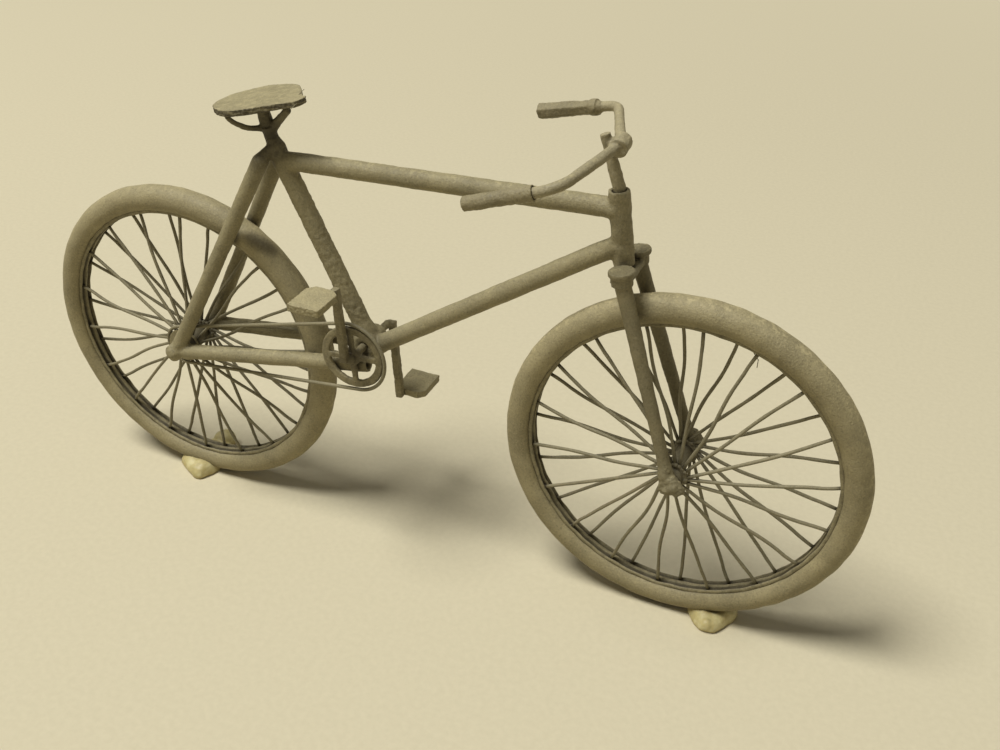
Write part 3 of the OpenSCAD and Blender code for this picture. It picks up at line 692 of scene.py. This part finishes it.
def glue(shape, node, at, thick, reach):
    """A collar of glue on the end of a tube closest to a point, thick there and thinning out along it."""
    start, end, radius = tube_line(node)
    if (end - at).length < (start - at).length:
        start, end = end, start
    along = (end - start).normalized()
    line = [start + along * off * MM for off in (-COLLAR_BACK, reach * COLLAR_WAIST, reach)]
    shape.tube(line, [radius + off * MM for off in (thick, COLLAR_WAIST * thick, -COLLAR_TUCK)], 24)


# Pieces that stay with the frame

joints = {j["name"]: j for j in frame["record"]["behaviour"]["joints"]}
bottom_bracket = Vector(joints["crank_spin"]["pos_m"])
head_up = Vector(joints["steering"]["axis"])
seat_cluster = tube_ends("seat_tube", "z")[1]
head_ends = [tube_ends(tube, "x")[1] for tube in ("top_tube", "down_tube")]
stay_ends = [middle("rear_dropouts") + ACROSS * side * DROPOUT_Y * MM for side in (-1, 1)]
neck = metres(POST[3])
waist = metres(POST[2])


def shorten(verts, foot, top):
    """The upper end of the seat tube moved down to where it was cut."""
    for vertex in verts:
        if (vertex - foot).length > (vertex - top).length:
            vertex -= (top - foot).normalized() * SEAT_TUBE_CUT * MM


def lean(verts, stay):
    """A seat stay leaned back, and the left one also pulled towards the seat tube at its upper end."""
    low, high = tube_ends(stay, "z")
    for vertex in verts:
        if stay == "seat_stay_left":
            near = max(0, 1 - (vertex - high).length / (PULL_REACH * MM))
            vertex -= STAY_PULL * near * MM
        vertex.x -= (vertex.z - low.z) / (high.z - low.z) * STAY_LEAN[stay] * MM


def frame_coat():
    """All the tubes under one coat, with glue drawn out along each of them at the joints."""
    parts = ["head_tube", "top_tube", "down_tube", "seat_tube", "bottom_bracket", "chain_stay_right",
             "chain_stay_left", "seat_stay_right", "seat_stay_left", "rear_dropouts", "rear_axle"]
    shape = Shape()
    foot, top = tube_ends("seat_tube", "z")
    for part in parts:
        verts = shape.solid(part)
        if part == "seat_tube":
            shorten(verts, foot, top)
        if part in STAY_LEAN:
            lean(verts, part)
    shape.bent(POST[:4])
    shape.ball(metres(RIDGE), RIDGE[3] * MM)
    low, high = tube_ends("seat_stay_right", "z")
    high.x -= STAY_LEAN["seat_stay_right"] * MM
    start = high + (low - high).normalized() * SHOULDER_STARTS * MM
    shoulder = [start, high, high.lerp(waist, 0.5), waist]
    shape.tube(shoulder, [radius * MM for radius in SHOULDER_RADII], 24)
    for tube, end in zip(("top_tube", "down_tube"), head_ends):
        glue(shape, tube, end, thick=0.08, reach=1.2)
    for tube in ("seat_tube", "down_tube"):
        glue(shape, tube, bottom_bracket, thick=0.3, reach=2.4)
    for side, end in zip(("right", "left"), stay_ends):
        glue(shape, f"chain_stay_{side}", end, thick=0.15, reach=2.4)
        glue(shape, f"seat_stay_{side}", end, thick=0.2, reach=2.4)
        shape.ball(end + (end - rear_axle).normalized() * BOSS_OUT * MM, BOSS_R * MM)
    rough = [foot.lerp(top, step / 7) for step in range(1, 7)]
    glued = [seat_cluster, bottom_bracket, *head_ends, *stay_ends]
    relief = lumpy(uneven((0.05, 2.4), (0.03, 0.7)), glued, depth=0.16)
    relief = lumpy(relief, rough, depth=0.12, size=0.5)
    stains = stains_and_shadow((neck, 2.6, 0.8), (high, 2.0, 0.55), (neck.lerp(seat_cluster, 1.4), 2.2, 0.5),
                     (bottom_bracket, 2.6, 0.4))
    finish = paint("frame_paint", PAINT, top_highlight(PAINT, 0.6), stains)
    coat = skin(shape, relief, voxel=0.165, relax=4)
    build("frame_coat", coat, finish, "painted_stock", "frame", *parts)


def saddle_carrier():
    """Post, struts and rail, webbed together where they fan out."""
    shape = Shape()
    for line in (POST, REAR_STRUT, FRONT_STRUT, RAIL):
        shape.bent(line)
    coat = skin(shape, uneven((0.06, 1.2), (0.03, 0.4)), voxel=0.09, relax=9)
    finish = paint("post_paint", tone(PAINT, 0.78), stains_and_shadow((neck, 3.2, 0.8)))
    build("saddle_carrier", coat, finish, "painted_wire", "frame", "seat_post", "saddle_struts")


def saddle():
    """Rough-cut plate with a blunt nose, softened edges and chips along its rim."""
    shape = Shape()
    shape.solid("saddle_plate")
    nose = middle("seat_post").x + NOSE_STARTS * MM
    for vertex in shape.verts:
        vertex.x -= max(0, vertex.x - nose) * NOSE_CUT
    relief = chipped(uneven((0.08, 2.4), (0.03, 0.5)), head_up, depth=0.12)
    finish = paint("saddle_paint", tone(PAINT, 1.02), top_highlight(PAINT, 0.6), dark_edges_and_shade(head_up), grain=1.5)
    coat = skin(shape, relief, voxel=0.1, relax=3)
    build("saddle", coat, finish, "painted_stock", "frame", "saddle_plate")


# Pieces that turn with the steering

def fork():
    """Crown, blades, tips and axle under one coat, with glue pinched round the axle's ends."""
    parts = ["fork_crown", "fork_blade_right", "fork_blade_left", "fork_tips", "front_axle"]
    shape = Shape()
    for part in parts:
        shape.solid(part)
    tips = [front_axle + ACROSS * side * FORK_TIP_Y * MM for side in (-1, 1)]
    for side, tip in zip(("right", "left"), tips):
        glue(shape, f"fork_blade_{side}", tip, thick=0.15, reach=2.4)
        out = (tip - front_axle).normalized() * PINCH_OUT * MM
        pinched = [tip + metres(point) + out for point in PINCHED_GLUE]
        shape.tube(pinched, [point[3] * MM for point in PINCHED_GLUE], 16)
    relief = lumpy(uneven((0.05, 2.2), (0.03, 0.6)), tips, depth=0.3)
    relief = lumpy(relief, tips, depth=0.22, size=0.4)
    finish = paint("fork_paint", tone(PAINT, 0.88), top_highlight(PAINT, 0.6))
    coat = skin(shape, relief, voxel=0.13, relax=4)
    build("fork", coat, finish, "painted_stock", "steering", *parts)


def handlebar():
    """Stem, clamp and bent bar, with glue where they meet."""
    parts = ["stem", "bar_clamp", "handlebar"]
    shape = Shape()
    for part in parts:
        shape.solid(part, CLAMP_SCALE if part == "bar_clamp" else 1.0)
    relief = lumpy(uneven((0.05, 1.8), (0.03, 0.5)), [middle("bar_clamp")], depth=0.2)
    finish = paint("bar_paint", tone(WIRE, 1.16), top_highlight(PAINT, 0.5))
    coat = skin(shape, relief, voxel=0.11, relax=4)
    build("bars", coat, finish, "painted_wire", "steering", *parts)


def grips():
    """Lengths of stock pushed on the bar, the left one with a ferrule."""
    finish = paint("grip_paint", tone(PAINT, 0.96))
    for grip in ("grip_right", "grip_left"):
        shape = Shape()
        shape.solid(grip)
        if grip == "grip_left":
            rear, front = tube_ends(grip, "x")
            along = (front - rear).normalized()
            places = [front + along * off * MM for off, _ in FERRULE]
            shape.tube(places, [radius * MM for _, radius in FERRULE])
        coat = skin(shape, uneven((0.06, 1.5), (0.05, 0.5)), voxel=0.09, relax=2)
        build(f"{grip}_coat", coat, finish, "painted_stock", "steering", grip)


# Crankset

def cranks():
    """Chainring, axle and cranks under one coat, with a blob of glue on each end of the axle."""
    parts = ["chainring", "crank_axle", "crank_right", "crank_left"]
    shape = Shape()
    for part in parts:
        shape.solid(part)
    right, left = (bottom_bracket + ACROSS * side * half_size("crank_axle").y for side in (-1, 1))
    shape.ball(right, RIGHT_CAP_R * MM)
    shape.ball(left + metres(LEFT_CAP), LEFT_CAP[3] * MM)
    relief = lumpy(uneven((0.05, 1.4), (0.04, 0.5)), [right, left], depth=0.2)
    finish = paint("crank_paint", tone(PAINT, 0.97), stains_and_shadow((right, 3.0, 0.5)), blotched(0.35))
    coat = skin(shape, relief, voxel=0.1, relax=3)
    build("cranks", coat, finish, "painted_stock", "crankset", *parts)


def pedals():
    """Slabs snipped from sheet, with ragged edges."""
    finish = paint("pedal_paint", tone(PAINT, 1.1), top_highlight(PAINT, 0.5), grain=1.3)
    relief = chipped(uneven((0.07, 1.6), (0.03, 0.45)), UP, depth=0.1)
    for pedal in ("pedal_right", "pedal_left"):
        shape = Shape()
        shape.solid(pedal)
        coat = skin(shape, relief, voxel=0.09, relax=2)
        build(f"{pedal}_coat", coat, finish, "painted_stock", "crankset", pedal)


# Wheels

def tyre(end):
    """A round tyre, open where it sits on the rim, a little uneven all the way round."""
    section = tyre_half_w / MM
    ring = wheel_r / MM - section
    edge = math.pi - math.asin(TYRE_EDGE_Y / section)
    turns = [edge * (2 * i / TYRE_SIDES - 1) for i in range(TYRE_SIDES + 1)]
    outline = [(ring + section * math.cos(a), section * math.sin(a)) for a in turns]
    shape = Shape()
    shape.turned(axles[end], outline, TYRE_STEPS, TYRE_WOBBLE, TYRE_SEED[end])
    colour = tone(PAINT, 1.05)
    scuffs = scuffed(colour, axles[end], TYRE_RUB[end])
    # Painted shadow of the right seat stay on the rear tyre; it turns with the wheel
    painted_stay_shadow = stains_and_shadow(*((metres(at), STAY_SHADOW_REACH, STAY_SHADOW_DEPTH) for at in STAY_SHADOW_SPOTS[end]))
    finish = paint(f"{end}_tyre_paint", colour, scuffs, painted_stay_shadow, shade_depth=0.9, shade_reach=0.9)
    build(f"{end}_tyre_coat", shape, finish, "painted_tyre", f"{end}_wheel", f"{end}_tyre")


def rim(end):
    """A narrow lip on each side, a groove inside it that the spokes end in, darkened by painted shade, and a
    band in the middle.
    """
    seat = rim_r / MM
    lip = TYRE_EDGE_Y - LIP_INSET
    half = [(seat - depth, lip - inset) for depth, inset in RIM_PROFILE]
    outline = half + [(radius, -across) for radius, across in reversed(half)]
    shape = Shape()
    shape.turned(axles[end], outline, RIM_STEPS, RIM_WOBBLE, RIM_SEED[end])
    build(f"{end}_rim_coat", shape, rim_paint, "painted_stock", f"{end}_wheel", f"{end}_rim")


def spoke_line(root, tip, rim_turn, bends):
    """A wire from root to tip that bows, waves once and hooks close to the rim, in millimetres."""
    bow, wave, shift, hook = bends
    sideways = Vector((-math.sin(rim_turn), 0, math.cos(rim_turn)))
    line = []
    for t in (step / SPOKE_STEPS for step in range(SPOKE_STEPS + 1)):
        swell = math.sin(math.pi * t)
        off = bow * swell + wave * math.sin(2 * math.pi * t + shift) * swell
        off += hook * math.exp(-((t - HOOK_AT) / HOOK_SPREAD) ** 2)
        line.append(root.lerp(tip, t) + sideways * off + ACROSS * WAVE_ACROSS * wave * swell)
    return line


def spokes(end):
    """Hub, flanges and pairs of hand-straightened wire spokes, each with a wave of its own."""
    dice = random.Random(SPOKE_SEED[end])
    axle = axles[end]
    flange_y = FLANGE_Y[end]
    shape = Shape()
    half = half_size(f"{end}_hub").y
    shape.tube([axle - ACROSS * half, axle + ACROSS * half], [HUB_R * MM] * 2, 20)
    root_r = FLANGE_R - ROOT_INSET
    tip_r = rim_r / MM - TIP_INSET
    for side in (-1, 1):
        at = axle + ACROSS * side * flange_y * MM
        shape.tube([at + ACROSS * off * MM for off, _ in FLANGE_PROFILE],
                   [(FLANGE_R + change) * MM for _, change in FLANGE_PROFILE], 24)
        for index in range(SPOKE_PAIRS):
            rim_turn = math.radians(FIRST_PAIR + index * 360 / SPOKE_PAIRS + side * PAIR_ANGLE / 2)
            scatter = dice.uniform(-LEAN_SCATTER, LEAN_SCATTER)
            hub_turn = rim_turn + side * math.radians(SPOKE_LEAN + scatter)
            root = Vector((math.cos(hub_turn) * root_r, side * flange_y, math.sin(hub_turn) * root_r))
            tip = Vector((math.cos(rim_turn) * tip_r, side * SPOKE_RIM_Y, math.sin(rim_turn) * tip_r))
            bends = [dice.uniform(-most, most) for most in SPOKE_BENDS]
            points = [axle + MM * point for point in spoke_line(root, tip, rim_turn, bends)]
            shape.tube(points, [SPOKE_R * MM * dice.uniform(0.94, 1.08) for _ in points], 8)
            shape.ball(points[-1], dice.uniform(0.22, 0.3) * MM, 4)
            shape.ball(points[0], dice.uniform(0.28, 0.45) * MM, 4)
    if end == "front":
        shape.tube([metres(at) for at in HAIR], [HAIR_R * MM] * len(HAIR), 5)
    # Darker towards the hub
    hub_darkening = stains_and_shadow((axle, 4.5, 0.5))
    finish = paint(f"{end}_spoke_paint", WIRE, hub_darkening, shade_depth=0.85, shade_reach=1.0, grain=0.7)
    build(f"{end}_spokes", shape, finish, "painted_wire", f"{end}_wheel", f"{end}_hub")


# Putty

def putty_pad(end, body, footprint, height, lump):
    """A dab pressed down on a footprint in millimetres, domed, with one lump that was pinched up."""
    outline = drawn(footprint, 5, closed=True)
    heart = sum(outline, Vector((0, 0))) / len(outline)
    dome = [Vector((*heart.lerp(point, grow), rise * height))
            for rise, grow in DAB_RINGS for point in outline]
    shape = Shape()
    shape.add([v * MM for v in dome], stacked(len(DAB_RINGS), len(outline)))
    shape.ball(metres(lump), lump[3] * MM, 10)
    coat = skin(shape, uneven((0.14, 1.6), (0.03, 0.5)), voxel=0.11, relax=10)
    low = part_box(f"putty_{end}")[0].z
    for vertex in coat.verts:
        vertex.z = max(vertex.z, low)
    build(f"putty_{end}_dab", coat, putty, "putty", body, f"putty_{end}")


# Lint

def lint():
    """A few stray fibres caught in the paint."""
    dice = random.Random(LINT_SEED)
    shape = Shape()
    saddle_low, saddle_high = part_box("saddle_plate")
    top = saddle_high.z
    starts = [Vector((saddle_high.x - 1.4 * MM, saddle_low.y + 1.2 * MM, top - 0.7 * MM)),
              Vector((saddle_high.x - 3.0 * MM, middle("saddle_plate").y, top - 0.6 * MM)),
              middle("down_tube") - metres((0, 0, 1.2)),
              head_ends[1] - metres((4, 0, 2.6))]
    for start in starts:
        heading = Vector([dice.uniform(*span) for span in ((-1, 1), (-1, 1), (-0.3, 0.6))]).normalized()
        curl = heading.orthogonal() * dice.uniform(0.3, 0.8)
        reach = dice.uniform(0.6, 1.1)
        points = [start + MM * (heading * t * reach + curl * t * t) for t in (0, 0.25, 0.5, 0.75, 1.0)]
        shape.tube(points, [LINT_R * MM] * len(points), 5)
    build("lint", shape, wire_paint, "painted_wire", "frame")


# Vector noise starts from the clock unless it is given a seed
noise.seed_set(NOISE_SEED)

frame_coat()
saddle_carrier()
saddle()
fork()
handlebar()
grips()
cranks()
pedals()
for end in axles:
    tyre(end)
    rim(end)
    spokes(end)
putty_pad("rear", "frame", REAR_DAB, REAR_DAB_HEIGHT, REAR_LUMP)
putty_pad("front", "steering", FRONT_DAB, FRONT_DAB_HEIGHT, FRONT_LUMP)
lint()


# Stage, light and camera

def floor():
    """A wide plain sheet under the model."""
    corners = [(x * FLOOR_HALF, y * FLOOR_HALF, 0) for x, y in ((-1, -1), (1, -1), (1, 1), (-1, 1))]
    mesh = bpy.data.meshes.new("floor")
    mesh.from_pydata(corners, [], [(0, 1, 2, 3)])
    mesh.materials.append(paper_finish())
    sheet = bpy.data.objects.new("floor", mesh)
    bpy.context.scene.collection.objects.link(sheet)


def area_light(name, at, aim, power):
    """A round soft lamp turned to a point."""
    data = bpy.data.lights.new(name, "AREA")
    data.shape = "DISK"
    data.size = LAMP_SIZE
    data.energy = power
    lamp = bpy.data.objects.new(name, data)
    lamp.location = at
    lamp.rotation_mode = "QUATERNION"
    lamp.rotation_quaternion = (aim - at).to_track_quat("-Z", "Y")
    bpy.context.scene.collection.objects.link(lamp)


def world():
    """Even light from the room, with the pale background shown to the camera."""
    sky = bpy.data.worlds.new("studio")
    sky.use_nodes = True
    tree = sky.node_tree
    back = next(n for n in tree.nodes if n.type == "BACKGROUND")
    back.inputs["Strength"].default_value = ROOM_POWER
    back.inputs["Color"].default_value = ROOM_TINT
    pale = tree.nodes.new("ShaderNodeBackground")
    pale.inputs["Color"].default_value = linear(PAPER)
    mix = tree.nodes.new("ShaderNodeMixShader")
    tree.links.new(shown(tree), mix.inputs[0])
    tree.links.new(back.outputs[0], mix.inputs[1])
    tree.links.new(pale.outputs[0], mix.inputs[2])
    tree.links.new(mix.outputs[0], next(n for n in tree.nodes if n.type == "OUTPUT_WORLD").inputs[0])
    bpy.context.scene.world = sky


def camera():
    """The photograph's camera."""
    data = bpy.data.cameras.new("camera")
    data.lens = CAMERA_LENS
    data.sensor_width = SENSOR_WIDTH
    data.clip_start = 10 * MM
    data.clip_end = 10
    eye = bpy.data.objects.new("camera", data)
    turn = Matrix((CAMERA_RIGHT, CAMERA_UP, CAMERA_RIGHT.cross(CAMERA_UP))).transposed()
    eye.matrix_world = Matrix.Translation(CAMERA_AT) @ turn.to_4x4()
    bpy.context.scene.collection.objects.link(eye)
    bpy.context.scene.camera = eye


centre = (cad_box[0] + cad_box[1]) / 2
floor()
area_light("key", centre + KEY_FROM, centre, KEY_POWER)
area_light("fill", centre + FILL_FROM, centre, FILL_POWER)
world()
camera()
bpy.context.scene.view_settings.view_transform = "Standard"
